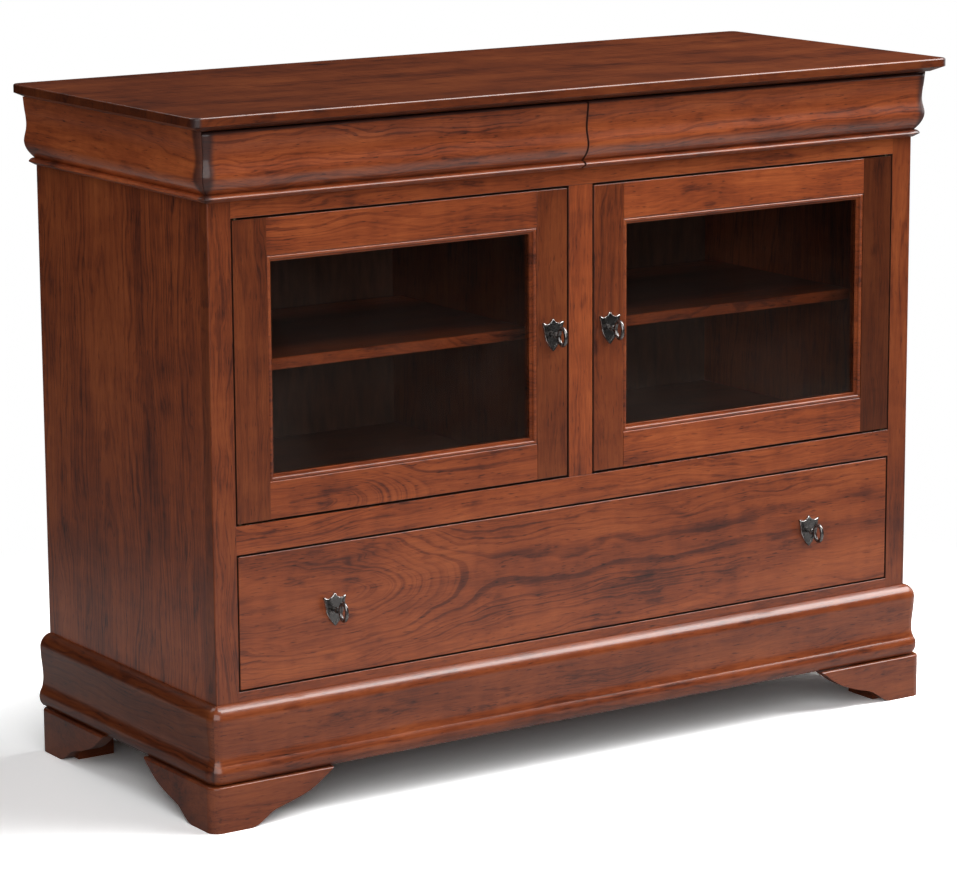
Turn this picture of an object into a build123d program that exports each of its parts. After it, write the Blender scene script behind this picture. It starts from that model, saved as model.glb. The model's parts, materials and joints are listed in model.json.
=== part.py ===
from build123d import *
import os

os.makedirs("parts", exist_ok=True)

# A cherry console cabinet: a moulded top over two hidden frieze drawers, two glazed doors with a
# shelf behind each, one wide drawer below them, a moulded base and four bracket feet.
# Millimetres, +Z up, +X to the right along the front, and the front faces -Y. The origin is on
# the floor, in the middle of the footprint.

# ---- Overall size -------------------------------------------------------------------------
TOP_WIDTH = 1220.0
TOP_DEPTH = 498.0
HEIGHT = 930.0
TOP_OVERHANG = 36.0
TOP_THICKNESS = 19.0
TOP_CORNER_RADIUS = 12.0
TOP_EDGE_ROUND = 2.5
TOP_BEVEL_HEIGHT = 7.5
TOP_BEVEL_WIDTH = 18.0
TOP_UNDER_RADIUS = 1.5

# ---- Bands of the front, from the floor up ------------------------------------------------
FOOT_HEIGHT = 61.5
FOOT_GAP = 2.0
BASE_HEIGHT = 101.5
BOTTOM_RAIL_REVEAL = 13.2
LOWER_OPENING_HEIGHT = 181.1
MIDDLE_RAIL_HEIGHT = 38.7
TOP_RAIL_REVEAL = 22.5
BEAD_HEIGHT = 10.0
FRIEZE_HEIGHT = 83.2

# ---- Boards -------------------------------------------------------------------------------
STILE_WIDTH = 34.0
MULLION_WIDTH = 39.0
FRAME_THICKNESS = 20.0
SIDE_THICKNESS = 19.0
PANEL_THICKNESS = 16.0
BACK_THICKNESS = 6.0
BACK_REBATE = 9.0
PARTITION_THICKNESS = 19.0
DIVIDER_THICKNESS = 20.0
ARRIS_ROUND = 2.0

# ---- Doors --------------------------------------------------------------------------------
FRONT_GAP = 2.5
DOOR_MEMBER = 49.5
BEAD_WIDTH = 8.5
BEAD_DEPTH = 7.0
GLASS_THICKNESS = 4.0
GLASS_PLAY = 0.5
STOP_WIDTH = 8.0

# ---- Pivot hinges -------------------------------------------------------------------------
PIVOT_IN = 6.0
PIVOT_BEHIND = 5.0
PIN_RADIUS = 2.0
PIN_CLEARANCE = 0.05
PIN_REACH = 7.0
COLLAR_RADIUS = 3.2
COLLAR_GAP = 0.5
LEAF_LENGTH = 58.0
LEAF_WIDTH = 7.0
LEAF_THICKNESS = 2.5
LEAF_COVER = 1.5
LEAF_TAIL = 5.0

# ---- Magnetic catches ---------------------------------------------------------------------
CATCH_LENGTH = 38.0
CATCH_DEPTH = 16.0
CATCH_HEIGHT = 30.0
CATCH_GAP = 0.5
STRIKE_THICKNESS = 1.5
STRIKE_HEIGHT = 12.0

# ---- Drawers ------------------------------------------------------------------------------
BOX_WALL = 12.0
BOX_FRONT_WALL = 16.0
BOX_BOTTOM = 6.0
BOX_BOTTOM_RISE = 8.0
GROOVE_DEPTH = 5.0
LOWER_BOX_RISE = 12.0
LOWER_BOX_HEIGHT = 140.0
FRIEZE_BOX_RISE = 5.0
FRIEZE_BOX_HEIGHT = 64.0
BOX_BACK_CLEARANCE = 26.0
FRIEZE_BACK_GAP = 0.5
FRIEZE_EDGE_ROUND = 4.0
MITRE_GAP = 0.7
SLIDE_WIDTH = 12.7
SLIDE_SHEET = 1.3
SLIDE_CLEARANCE = 1.2
SLIDE_SETBACK = 2.0
LOWER_SLIDE_HEIGHT = 45.0
LOWER_SLIDE_LENGTH = 400.0
FRIEZE_SLIDE_HEIGHT = 35.0
FRIEZE_SLIDE_LENGTH = 350.0

# ---- Shelves and cable holes --------------------------------------------------------------
SHELF_RISE = 189.0
SHELF_SETBACK = 110.0
SHELF_REAR_GAP = 20.0
SHELF_PLAY = 1.0
SHELF_PIN_RADIUS = 2.5
SHELF_PIN_DEPTH = 9.0
SHELF_PIN_REACH = 9.0
SHELF_PIN_INSET = 50.0
CABLE_HOLE_RADIUS = 30.0
CABLE_HOLE_RISE = 70.0

# ---- Feet ---------------------------------------------------------------------------------
FOOT_PROUD = 20.0
FOOT_BOARD = 20.0
FOOT_LENGTH = 185.0
FOOT_PAD = 57.0
FOOT_CORNER_RADIUS = 16.0
FOOT_EDGE_ROUND = 3.0
FOOT_BLOCK = 55.0

# ---- Shield plates and key pulls ----------------------------------------------------------
SHIELD_WIDTH = 34.0
SHIELD_HEIGHT = 44.0
SHIELD_THICKNESS = 3.5
SHIELD_RIM = 2.2
SHIELD_RECESS = 1.2
SHANK_RADIUS = 2.0
NECK_RADIUS = 2.6
BALL_RADIUS = 4.4
BALL_OUT = 8.5
RING_RADIUS = 3.6
RING_OUT = 13.0
RING_THICKNESS = 1.8
BOW_WIRE = 2.6
BOW_REACH = 34.5
BOW_DEPTH = 21.0
BOW_HEIGHT = 28.0
NUT_RADIUS = 5.0
NUT_THICKNESS = 3.0
LOWER_PULL_X = 395.0

# ---- Places that follow from the sizes ----------------------------------------------------
HALF = TOP_WIDTH / 2 - TOP_OVERHANG
FRONT = -TOP_DEPTH / 2 + TOP_OVERHANG
BACK = TOP_DEPTH / 2
BACK_FACE = BACK - BACK_THICKNESS
FRAME_BACK = FRONT + FRAME_THICKNESS
SIDE_INNER = HALF - SIDE_THICKNESS
OPENING_X = HALF - STILE_WIDTH
SLAB_BOTTOM = HEIGHT - TOP_THICKNESS
FRIEZE_BOTTOM = SLAB_BOTTOM - FRIEZE_HEIGHT
BEAD_BOTTOM = FRIEZE_BOTTOM - BEAD_HEIGHT
DOOR_OPENING_TOP = BEAD_BOTTOM - TOP_RAIL_REVEAL
BASE_BOTTOM = FOOT_HEIGHT + FOOT_GAP
BASE_TOP = BASE_BOTTOM + BASE_HEIGHT
LOWER_OPENING_BOTTOM = BASE_TOP + BOTTOM_RAIL_REVEAL
LOWER_OPENING_TOP = LOWER_OPENING_BOTTOM + LOWER_OPENING_HEIGHT
DOOR_OPENING_BOTTOM = LOWER_OPENING_TOP + MIDDLE_RAIL_HEIGHT
SHELF_TOP = DOOR_OPENING_BOTTOM + SHELF_RISE
DOOR_X_OUT = OPENING_X - FRONT_GAP
DOOR_X_IN = MULLION_WIDTH / 2 + FRONT_GAP
DOOR_BOTTOM = DOOR_OPENING_BOTTOM + FRONT_GAP
DOOR_TOP = DOOR_OPENING_TOP - FRONT_GAP
PIVOT_X = DOOR_X_OUT - PIVOT_IN
PIVOT_Y = FRONT + PIVOT_BEHIND
FRIEZE_BOX_BOTTOM = FRIEZE_BOTTOM + FRIEZE_BOX_RISE
LOWER_BOX_BOTTOM = LOWER_OPENING_BOTTOM + LOWER_BOX_RISE
PULL_Z = (DOOR_BOTTOM + DOOR_TOP) / 2
LOWER_PULL_Z = (LOWER_OPENING_BOTTOM + LOWER_OPENING_TOP) / 2
DOOR_PULL_X = DOOR_X_IN + DOOR_MEMBER / 2


def board(x0, x1, y0, y1, z0, z1):
    """A plain board between two opposite corners."""
    return Pos((x0 + x1) / 2, (y0 + y1) / 2, (z0 + z1) / 2) * Box(x1 - x0, y1 - y0, z1 - z0)


def mirrored(*pieces):
    """The same pieces on the other side of the cabinet's middle plane."""
    return [mirror(piece, about=Plane.YZ) for piece in pieces]


def save(name, *pieces):
    """Write one node, which may hold several separate pieces."""
    solids = [solid for piece in pieces for solid in piece.solids()]
    export_step(Compound(solids) if len(solids) > 1 else solids[0], f"parts/{name}.step")


def save_both(name, *pieces):
    """Write a left-hand node and its mirror image for the right-hand side."""
    save(name.replace("SIDE", "left"), *pieces)
    save(name.replace("SIDE", "right"), *mirrored(*pieces))


# ---- Moulding profiles, as (how far proud of the carcase, height) -------------------------
def ogee_profile():
    """The frieze: a full belly low down, a long cove above it and a flare under the top."""
    shape = [(3.0, 0.0), (12.6, 0.12), (17.9, 0.28), (14.9, 0.45), (13.8, 0.56),
             (15.0, 0.72), (18.0, 1.0)]
    points = [(proud, FRIEZE_BOTTOM + share * FRIEZE_HEIGHT) for proud, share in shape]
    curve = Spline(points, tangents=[(1, 0.9), (0.1, 1)])
    edges = [curve, Polyline(points[-1], (0, SLAB_BOTTOM), (0, FRIEZE_BOTTOM), points[0])]
    return make_face(edges)


def bead_profile():
    """The strip under the frieze: a rounded top, a small nose and a sloping underside."""
    def at(proud, share):
        return (proud, BEAD_BOTTOM + share * BEAD_HEIGHT)

    crown = ThreePointArc(at(3.0, 1.0), at(8.4, 0.9), at(11.3, 0.64))
    nose = ThreePointArc(at(11.3, 0.64), at(11.6, 0.54), at(11.0, 0.46))
    rest = Polyline(at(11.0, 0.46), at(2.0, 0), at(0, 0), at(0, 1.0), at(3.0, 1.0))
    return make_face([crown, nose, rest])


def base_profile():
    """The base: a bead at the bottom, a long cove and a round shoulder at the top."""
    def at(proud, share):
        return (proud, BASE_BOTTOM + share * BASE_HEIGHT)

    bead = ThreePointArc(at(14.0, 0), at(19.5, 0.12), at(15.6, 0.24))
    cove = Spline(
        [at(15.6, 0.24), at(12.8, 0.39), at(13.9, 0.58), at(15.8, 0.79)],
        tangents=[(-0.5, 1), (0.02, 1)],
    )
    shoulder = ThreePointArc(at(15.8, 0.79), at(12.4, 0.93), at(1.6, 1.0))
    back = Polyline(at(1.6, 1.0), at(0, 1.0), at(0, 0), at(14.0, 0))
    return make_face([bead, cove, shoulder, back])


# ---- Mouldings planted on the carcase -----------------------------------------------------
CORNER_AXIS = Axis((-HALF, FRONT, 0), (0, 0, 1))
SIDE_PLANE = Plane(origin=(-HALF, FRONT, 0), x_dir=(-1, 0, 0), z_dir=(0, 1, 0))
FRONT_PLANE = Plane(origin=(-HALF, FRONT, 0), x_dir=(0, -1, 0), z_dir=(-1, 0, 0))


def side_run(profile):
    """The left side's moulding, from the back to the mitre in the rounded corner."""
    section = SIDE_PLANE * profile
    return extrude(section, BACK - FRONT) + revolve(section, CORNER_AXIS, 45)


def front_run(profile, end_x):
    """The front's moulding, from the mitre in the left corner to end_x."""
    section = FRONT_PLANE * profile
    return extrude(section, -(end_x + HALF)) + revolve(section, CORNER_AXIS, -45)


def make_mouldings():
    base_front = front_run(base_profile(), 0)
    save("base_moulding_front", base_front + mirrored(base_front)[0])
    base_side = side_run(base_profile())
    save("base_moulding_sides", base_side, *mirrored(base_side))
    save_both("frieze_moulding_SIDE", side_run(ogee_profile()), side_run(bead_profile()))


# ---- Top and carcase ----------------------------------------------------------------------
def top_plan(inset, front_radius, z):
    """The top's outline at one height, inset at the front and the sides but not at the back."""
    half = TOP_WIDTH / 2 - inset
    front = -TOP_DEPTH / 2 + inset
    plan = Pos(0, (front + BACK) / 2) * Rectangle(2 * half, BACK - front)
    plan = fillet(plan.vertices().group_by(Axis.Y)[0], front_radius)
    plan = fillet(plan.vertices().group_by(Axis.Y)[-1], TOP_CORNER_RADIUS)
    return Pos(0, 0, z) * plan


def make_top():
    bevel_top = SLAB_BOTTOM + TOP_BEVEL_HEIGHT
    full = top_plan(0, TOP_CORNER_RADIUS, bevel_top)
    under = top_plan(TOP_BEVEL_WIDTH, TOP_UNDER_RADIUS, SLAB_BOTTOM)
    slab = loft([under, full]) + extrude(full, HEIGHT - bevel_top)
    upper = slab.faces().sort_by(Axis.Z)[-1]
    slab = fillet(upper.edges().sort_by(Axis.Y)[:-1], TOP_EDGE_ROUND)
    save("top_panel", slab)


def shelf_pin_places():
    """Front and back y of the pins that carry a shelf."""
    front = FRONT + SHELF_SETBACK + SHELF_PIN_INSET
    back = BACK_FACE - SHELF_REAR_GAP - SHELF_PIN_INSET
    return [front, back]


def shelf_pins():
    """Four pins of the left compartment: two in the side, two in the partition."""
    length = SHELF_PIN_DEPTH + SHELF_PIN_REACH
    height = SHELF_TOP - PANEL_THICKNESS - SHELF_PIN_RADIUS
    side_middle = -SIDE_INNER + (SHELF_PIN_REACH - SHELF_PIN_DEPTH) / 2
    partition_middle = -PARTITION_THICKNESS / 2 + (SHELF_PIN_DEPTH - SHELF_PIN_REACH) / 2
    pins = []
    for y in shelf_pin_places():
        for x in (side_middle, partition_middle):
            pins.append(Pos(x, y, height) * Rot(0, 90, 0) * Cylinder(SHELF_PIN_RADIUS, length))
    return pins


def make_carcase():
    back_x = SIDE_INNER + BACK_REBATE
    back = board(-back_x, back_x, BACK_FACE, BACK, BASE_BOTTOM, SLAB_BOTTOM)
    pins = shelf_pins()
    side = board(-HALF, -SIDE_INNER, FRAME_BACK, BACK, BASE_BOTTOM, SLAB_BOTTOM)
    side = side - back - pins
    save_both("side_panel_SIDE", side)
    hole = Cylinder(CABLE_HOLE_RADIUS, 4 * BACK_THICKNESS)
    hole_z = DOOR_OPENING_BOTTOM + CABLE_HOLE_RISE
    hole_x = (SIDE_INNER + PARTITION_THICKNESS / 2) / 2
    for x in (-hole_x, hole_x):
        back = back - Pos(x, BACK, hole_z) * Rot(90, 0, 0) * hole
    save("back_panel", back)

    inside = (-SIDE_INNER, SIDE_INNER, FRAME_BACK, BACK_FACE)
    bottom_top = LOWER_OPENING_BOTTOM - BOTTOM_RAIL_REVEAL
    save("case_bottom", board(*inside, bottom_top - PANEL_THICKNESS, bottom_top))
    floor_top = DOOR_OPENING_BOTTOM
    save("compartment_floor", board(*inside, floor_top - PANEL_THICKNESS, floor_top))
    deck_bottom = FRIEZE_BOTTOM - PANEL_THICKNESS
    save("drawer_deck", board(*inside, deck_bottom, FRIEZE_BOTTOM))
    half = PARTITION_THICKNESS / 2
    partition = board(-half, half, FRAME_BACK, BACK_FACE, floor_top, deck_bottom)
    save("centre_partition", partition - pins - mirrored(*pins))
    half = DIVIDER_THICKNESS / 2
    divider = board(-half, half, FRONT, BACK_FACE, FRIEZE_BOTTOM, SLAB_BOTTOM)
    save("frieze_divider", divider)

    shelf_x = (-SIDE_INNER + SHELF_PLAY, -PARTITION_THICKNESS / 2 - SHELF_PLAY)
    shelf_y = (FRONT + SHELF_SETBACK, BACK_FACE - SHELF_REAR_GAP)
    shelf = board(*shelf_x, *shelf_y, SHELF_TOP - PANEL_THICKNESS, SHELF_TOP)
    shelf = fillet(shelf.edges().filter_by(Axis.X).group_by(Axis.Y)[0], ARRIS_ROUND)
    save_both("shelf_SIDE", shelf)
    save("shelf_pins", *pins, *mirrored(*pins))


def make_face_frame():
    stile = board(-HALF, -OPENING_X, FRONT, FRAME_BACK, BASE_BOTTOM, SLAB_BOTTOM)
    outer = stile.edges().filter_by(Axis.Z).group_by(Axis.Y)[0].sort_by(Axis.X)[0]
    save_both("face_stile_SIDE", fillet(outer, ARRIS_ROUND))
    half = MULLION_WIDTH / 2
    mullion = board(-half, half, FRONT, FRAME_BACK, DOOR_OPENING_BOTTOM, DOOR_OPENING_TOP)
    save("face_mullion", mullion)
    across = (-OPENING_X, OPENING_X, FRONT, FRAME_BACK)
    upper_leaf = hinge_leaf_body(DOOR_OPENING_TOP, 1)
    lower_leaf = hinge_leaf_body(DOOR_OPENING_BOTTOM, -1)
    rail = board(*across, DOOR_OPENING_TOP, FRIEZE_BOTTOM)
    save("face_rail_top", rail - upper_leaf - mirrored(upper_leaf))
    rail = board(*across, LOWER_OPENING_TOP, DOOR_OPENING_BOTTOM)
    save("face_rail_middle", rail - lower_leaf - mirrored(lower_leaf))
    save("face_rail_bottom", board(*across, BASE_BOTTOM, LOWER_OPENING_BOTTOM))


# ---- Pivot hinges: one leaf let into the rail, one into the door's edge --------------------
def hinge_leaf_body(z, up):
    """A plain leaf of the left door's hinge, from height z upwards (up 1) or downwards (-1)."""
    x0 = -PIVOT_X - LEAF_TAIL
    y0 = FRONT + LEAF_COVER
    low, high = sorted((z, z + up * LEAF_THICKNESS))
    return board(x0, x0 + LEAF_LENGTH, y0, y0 + LEAF_WIDTH, low, high)


def upright(radius, z0, z1):
    """A round bar on the left door's pivot line, between two heights."""
    low, high = sorted((z0, z1))
    return Pos(-PIVOT_X, PIVOT_Y, (low + high) / 2) * Cylinder(radius, high - low)


def case_leaf(rail_z, up):
    """A case leaf with its riveted pin and collar; up points from the door into the rail."""
    leaf = hinge_leaf_body(rail_z, up)
    collar = upright(COLLAR_RADIUS, rail_z, rail_z - up * (FRONT_GAP - COLLAR_GAP))
    pin = upright(PIN_RADIUS, rail_z, rail_z - up * (FRONT_GAP + PIN_REACH))
    return leaf + collar + pin


def door_leaf(door_z, up):
    """A door leaf with its pin hole; up points from the door into the rail."""
    hole = upright(PIN_RADIUS + PIN_CLEARANCE, door_z + up, door_z - up * 2 * LEAF_THICKNESS)
    return hinge_leaf_body(door_z, -up) - hole


def pin_pocket(door_z, up):
    """The room in the door's wood for the end of the pin."""
    return upright(PIN_RADIUS + 1, door_z, door_z - up * (PIN_REACH + 1))


# ---- Pulls: a shield plate and a fixed ornamental key -------------------------------------
def shield_outline():
    """Two scallops along the top, and sides that run in and then curve to a point."""
    w = SHIELD_WIDTH / 2
    h = SHIELD_HEIGHT / 2
    edges = []
    for s in (-1, 1):
        corner = (s * w, 0.79 * h)
        waist = (s * 0.78 * w, 0.04 * h)
        edges.append(ThreePointArc((0, h), (s * 0.5 * w, 0.68 * h), corner))
        edges.append(ThreePointArc(corner, (s * 0.86 * w, 0.4 * h), waist))
        edges.append(ThreePointArc(waist, (s * 0.56 * w, -0.44 * h), (0, -h)))
    return make_face(edges)


def shield_plate(x, z):
    """A raised rim round a sunk face, with the shank's hole; its back is on the face plane."""
    outline = Plane.XZ * shield_outline()
    plate = extrude(outline, SHIELD_THICKNESS)
    sunk = extrude(Plane.XZ * offset(shield_outline(), -SHIELD_RIM), SHIELD_THICKNESS)
    plate = plate - Pos(0, -(SHIELD_THICKNESS - SHIELD_RECESS), 0) * sunk
    plate = plate - along_y(SHANK_RADIUS, 0, SHIELD_THICKNESS)
    return Pos(x, FRONT, z) * plate


def along_y(radius, start, end):
    """A round bar on the pull's own axis, between two distances in front of the face."""
    return Pos(0, -(start + end) / 2, 0) * Rot(90, 0, 0) * Cylinder(radius, abs(end - start))


def key_pull(x, z, grip):
    """A key with an oval bow, and the nut behind the wood that is grip thick."""
    sunk = SHIELD_THICKNESS - SHIELD_RECESS
    bow_out = BOW_REACH - BOW_DEPTH / 2
    key = along_y(SHANK_RADIUS, -grip - NUT_THICKNESS, sunk)
    key = key + along_y(NECK_RADIUS, sunk, BOW_REACH - BOW_DEPTH + BOW_WIRE)
    key = key + Pos(0, -BALL_OUT, 0) * Sphere(BALL_RADIUS)
    key = key + along_y(RING_RADIUS, RING_OUT - RING_THICKNESS, RING_OUT)
    middle = Plane(origin=(0, -bow_out, 0), x_dir=(0, 1, 0), z_dir=(1, 0, 0))
    oval = middle * Ellipse(BOW_DEPTH / 2 - BOW_WIRE, BOW_HEIGHT / 2 - BOW_WIRE).wire()
    section = Plane(origin=oval @ 0, z_dir=oval % 0) * Circle(BOW_WIRE)
    key = key + sweep(section, path=oval)
    nut = along_y(NUT_RADIUS, -grip - NUT_THICKNESS, -grip) - along_y(SHANK_RADIUS, -grip - 9, 0)
    return [Pos(x, FRONT, z) * key, Pos(x, FRONT, z) * nut]


def shank_hole(x, z, depth):
    """The hole that a pull's shank goes through, from the face plane backwards."""
    return Pos(x, FRONT, z) * along_y(SHANK_RADIUS, -depth, 0)


# ---- Doors --------------------------------------------------------------------------------
def glazing_bead_profile():
    """Front bead, as (in from the frame, behind the face): a round nose, then a low fillet."""
    w = BEAD_WIDTH
    nose = ThreePointArc((0.6, 1.2), (2.6, 0.1), (5.0, 2.4))
    rest = Polyline((5.0, 2.4), (5.0, 4.6), (w - 0.6, 4.9), (w, BEAD_DEPTH), (0, BEAD_DEPTH),
                    (0, 1.2), (0.6, 1.2))
    return make_face([nose, rest])


def mitred_strips(profile, width, x0, x1, z0, z1):
    """Four strips round a rectangle, mitred; profile is (in from the frame, behind the face)."""
    middle_x = (x0 + x1) / 2
    middle_z = (z0 + z1) / 2
    strips = []
    for turn in range(4):
        length, across = (x1 - x0, z1 - z0) if turn % 2 == 0 else (z1 - z0, x1 - x0)
        section = Plane(origin=(length / 2, 0, -across / 2), x_dir=(0, 0, 1), z_dir=(-1, 0, 0))
        strip = extrude(section * profile, length)
        ends = Polygon((-length / 2, 0), (length / 2, 0), (length / 2 - width, width),
                       (width - length / 2, width), align=None)
        keep = extrude(Plane(origin=(0, 0, -across / 2), x_dir=(1, 0, 0), z_dir=(0, -1, 0)) * ends,
                       FRAME_THICKNESS, both=True)
        strips.append(Pos(middle_x, FRONT, middle_z) * Rot(0, 90 * turn, 0) * (strip & keep))
    return strips


def make_doors():
    """The left door, hinged at its outer edge, and its mirror image."""
    x0, x1 = -DOOR_X_OUT, -DOOR_X_IN
    fx0, fx1 = x0 + DOOR_MEMBER, x1 - DOOR_MEMBER
    fz0, fz1 = DOOR_BOTTOM + DOOR_MEMBER, DOOR_TOP - DOOR_MEMBER
    deep = (FRONT, FRAME_BACK)
    leaves = [door_leaf(DOOR_TOP, 1), door_leaf(DOOR_BOTTOM, -1)]
    cuts = [hinge_leaf_body(DOOR_TOP, -1), hinge_leaf_body(DOOR_BOTTOM, 1)]
    cuts = cuts + [pin_pocket(DOOR_TOP, 1), pin_pocket(DOOR_BOTTOM, -1)]
    hinge_stile = board(x0, fx0, *deep, DOOR_BOTTOM, DOOR_TOP) - cuts
    pull_stile = board(fx1, x1, *deep, DOOR_BOTTOM, DOOR_TOP)
    pull_stile = pull_stile - shank_hole(-DOOR_PULL_X, PULL_Z, FRAME_THICKNESS)
    save_both("door_SIDE_stiles", hinge_stile, pull_stile)
    rails = [
        board(fx0, fx1, *deep, DOOR_BOTTOM, fz0) - cuts,
        board(fx0, fx1, *deep, fz1, DOOR_TOP) - cuts,
    ]
    save_both("door_SIDE_rails", *rails)
    save_both("door_SIDE_hinge_leaves", *leaves)

    glass_y = FRONT + BEAD_DEPTH
    glass = board(fx0 + GLASS_PLAY, fx1 - GLASS_PLAY, glass_y, glass_y + GLASS_THICKNESS,
                  fz0 + GLASS_PLAY, fz1 - GLASS_PLAY)
    save_both("door_SIDE_glass", glass)
    beads = mitred_strips(glazing_bead_profile(), BEAD_WIDTH, fx0, fx1, fz0, fz1)
    stop_front = BEAD_DEPTH + GLASS_THICKNESS
    stop = Polyline((0, stop_front), (STOP_WIDTH, stop_front), (STOP_WIDTH, FRAME_THICKNESS - 3),
                    (STOP_WIDTH - 3, FRAME_THICKNESS), (0, FRAME_THICKNESS), close=True)
    stops = mitred_strips(make_face(stop), STOP_WIDTH, fx0, fx1, fz0, fz1)
    save_both("door_SIDE_glazing_beads", *beads, *stops)

    save_both("door_SIDE_shield_plate", shield_plate(-DOOR_PULL_X, PULL_Z))
    save_both("door_SIDE_key_pull", *key_pull(-DOOR_PULL_X, PULL_Z, FRAME_THICKNESS))

    catch_x = x1 - CATCH_LENGTH - DOOR_MEMBER
    strike_z = DOOR_TOP - STRIKE_HEIGHT
    strike = board(catch_x, catch_x + CATCH_LENGTH, FRAME_BACK, FRAME_BACK + STRIKE_THICKNESS,
                   strike_z - STRIKE_HEIGHT / 2, strike_z + STRIKE_HEIGHT / 2)
    save_both("door_SIDE_catch_strike", strike)
    catch_y = FRAME_BACK + STRIKE_THICKNESS + CATCH_GAP
    deck_bottom = FRIEZE_BOTTOM - PANEL_THICKNESS
    catch = board(catch_x, catch_x + CATCH_LENGTH, catch_y, catch_y + CATCH_DEPTH,
                  deck_bottom - CATCH_HEIGHT, deck_bottom)
    save("door_catches", catch, *mirrored(catch))
    case_leaves = [case_leaf(DOOR_OPENING_TOP, 1), case_leaf(DOOR_OPENING_BOTTOM, -1)]
    save("hinge_case_leaves", *case_leaves, *mirrored(*case_leaves))


# ---- Drawer slides: a case member, a middle member and a drawer member --------------------
def slide_channel(web, lips, height, y0, y1, z):
    """A channel whose web starts at x = web and whose lips reach to x = lips."""
    t = SLIDE_SHEET if lips > web else -SLIDE_SHEET
    back = board(*sorted((web, web + t)), y0, y1, z - height / 2, z + height / 2)
    x0, x1 = sorted((web, lips))
    low = board(x0, x1, y0, y1, z - height / 2, z - height / 2 + SLIDE_SHEET)
    high = board(x0, x1, y0, y1, z + height / 2 - SLIDE_SHEET, z + height / 2)
    return back + low + high


def slide(face_x, inward, height, length, z):
    """One slide on a face at face_x, growing along inward (1 or -1), as its three members."""
    y0 = FRAME_BACK + SLIDE_SETBACK
    step = SLIDE_SHEET + SLIDE_CLEARANCE
    room = SLIDE_WIDTH - SLIDE_SHEET - SLIDE_CLEARANCE

    def channel(web, lips, shrink):
        span = (face_x + inward * web, face_x + inward * lips)
        return slide_channel(*span, height - 2 * shrink, y0, y0 + length, z)

    case_member = channel(0, room, 0)
    middle_member = channel(step, room, step)
    drawer_member = channel(SLIDE_WIDTH, 2 * step, 2 * step)
    return case_member, middle_member, drawer_member


def slide_packer(height, length, z):
    """The strip that brings the left side's slide out to the face frame's inner edge."""
    y0 = FRAME_BACK
    y1 = y0 + SLIDE_SETBACK + length
    return board(-SIDE_INNER, -OPENING_X, y0, y1, z - height / 2, z + height / 2)


# ---- Drawers ------------------------------------------------------------------------------
def drawer_box(x0, x1, y0, y1, z0, z1):
    """Four walls and a bottom panel held in grooves."""
    inner_x0, inner_x1 = x0 + BOX_WALL, x1 - BOX_WALL
    inner_y0, inner_y1 = y0 + BOX_FRONT_WALL, y1 - BOX_WALL
    bottom_z = z0 + BOX_BOTTOM_RISE
    g = GROOVE_DEPTH
    bottom = board(inner_x0 - g, inner_x1 + g, inner_y0 - g, inner_y1 + g,
                   bottom_z, bottom_z + BOX_BOTTOM)
    walls = [
        board(x0, inner_x0, y0, y1, z0, z1),
        board(inner_x1, x1, y0, y1, z0, z1),
        board(inner_x0, inner_x1, y0, inner_y0, z0, z1),
        board(inner_x0, inner_x1, inner_y1, y1, z0, z1),
    ]
    return [wall - bottom for wall in walls] + [bottom]


def make_frieze_drawers():
    """The left hidden drawer, whose front is the frieze itself, and its mirror image."""
    end_x = -FRONT_GAP / 2
    top = board(-TOP_WIDTH, TOP_WIDTH, -TOP_DEPTH, 0, SLAB_BOTTOM - FRONT_GAP, HEIGHT)
    behind = board(-TOP_WIDTH, TOP_WIDTH, FRONT - FRIEZE_BACK_GAP, 0, 0, HEIGHT)
    reach = FOOT_PROUD * 4
    mitre = Pos(-HALF, FRONT, HEIGHT / 2) * Rot(0, 0, 45) * Box(reach, 2 * MITRE_GAP, 2 * HEIGHT)
    ogee = front_run(ogee_profile(), end_x) - top
    crest = ogee.faces().sort_by(Axis.Z)[-1].edges().sort_by(Axis.Y)
    crest = [edge for edge in crest if edge.center().Y < FRONT - FRIEZE_EDGE_ROUND]
    ogee = fillet(crest, FRIEZE_EDGE_ROUND) - behind - mitre
    bead = front_run(bead_profile(), end_x) - behind - mitre
    save_both("frieze_drawer_SIDE_front", ogee, bead)

    x0 = -OPENING_X + SLIDE_WIDTH
    x1 = -DIVIDER_THICKNESS / 2 - SLIDE_WIDTH
    z0 = FRIEZE_BOX_BOTTOM
    z1 = z0 + FRIEZE_BOX_HEIGHT
    box = drawer_box(x0, x1, FRONT - FRIEZE_BACK_GAP, BACK_FACE - BOX_BACK_CLEARANCE, z0, z1)
    save_both("frieze_drawer_SIDE_box", *box)

    slide_z = (z0 + z1) / 2
    size = (FRIEZE_SLIDE_HEIGHT, FRIEZE_SLIDE_LENGTH, slide_z)
    outer = slide(-OPENING_X, 1, *size)
    inner = slide(-DIVIDER_THICKNESS / 2, -1, *size)
    save_both("frieze_drawer_SIDE_slide_middles", outer[1], inner[1])
    save_both("frieze_drawer_SIDE_slide_members", outer[2], inner[2])
    return [outer[0], inner[0]], slide_packer(*size)


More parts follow.
